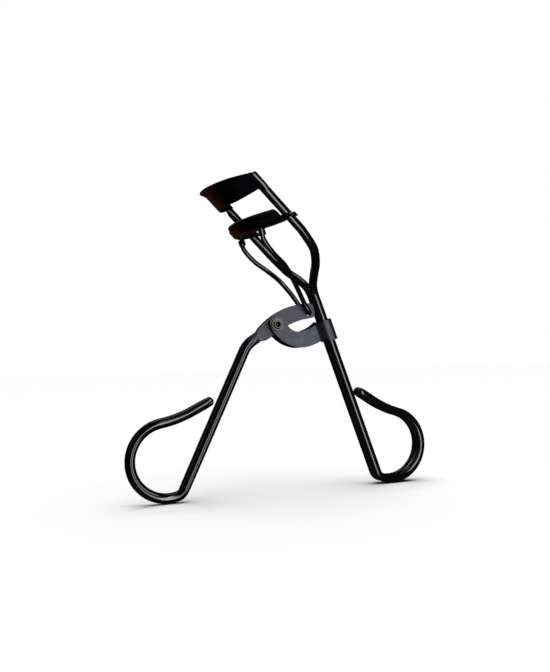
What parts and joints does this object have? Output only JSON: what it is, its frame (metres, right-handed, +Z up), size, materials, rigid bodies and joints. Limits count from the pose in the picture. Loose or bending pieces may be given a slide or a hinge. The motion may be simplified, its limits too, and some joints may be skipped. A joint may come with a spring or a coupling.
{
  "type": "eyelash curler",
  "caption": "Hand tool that squeezes lashes between a curved metal plate and a soft pad on a sliding jaw, worked by a hinged handle with finger loops.",
  "frame": {"origin": "under the middle of the bounding box, at the level of the surface that the two finger loops stand on", "axes": "+X from the moving handle to the fixed handle, +Y along the width of the lash plate, +Z up, with the head at the top and the handles spread open"},
  "size_m": [0.1033, 0.0384, 0.0997],
  "materials": {
    "frame_lacquer": "gloss black lacquer",
    "plate_lacquer": "satin black lacquer",
    "jaw_lacquer": "satin black lacquer",
    "pad_silicone": "soft black silicone",
    "push_wire_lacquer": "gloss black lacquer",
    "collar_near_lacquer": "gloss black lacquer",
    "collar_far_lacquer": "gloss black lacquer",
    "bracket_lacquer": "satin black lacquer",
    "rivet_lacquer": "gloss black lacquer",
    "handle_lacquer": "gloss black lacquer"
  },
  "bodies": {
    "frame": {"frame_wire": "frame_lacquer", "upper_plate": "plate_lacquer", "bracket": "bracket_lacquer", "pivot_rivet": "rivet_lacquer"},
    "handle": {"moving_handle": "handle_lacquer"},
    "jaw": {"lower_jaw": "jaw_lacquer", "pad": "pad_silicone"},
    "link": {"push_wire": "push_wire_lacquer", "collar_near": "collar_near_lacquer", "collar_far": "collar_far_lacquer"}
  },
  "joints": [
    {"name": "handle_hinge", "type": "hinge", "parent": "frame", "child": "handle", "pos_m": [-0.00254, 0, 0.05432], "axis": [0, -1, 0], "range_deg": [0, 26]},
    {"name": "jaw_slide", "type": "slide", "parent": "frame", "child": "jaw", "axis": [-0.6997, 0, 0.7145], "range_m": [0, 0.0056]},
    {"name": "link_hinge", "type": "hinge", "parent": "jaw", "child": "link", "pos_m": [-0.0097, 0, 0.0836], "axis": [0, -1, 0], "range_deg": [0, 3]}
  ],
  "couplings": [
    {"joint": "jaw_slide", "follows": "handle_hinge", "m_per_rad": 0.01204},
    {"joint": "link_hinge", "follows": "handle_hinge", "ratio": 0.09}
  ]
}
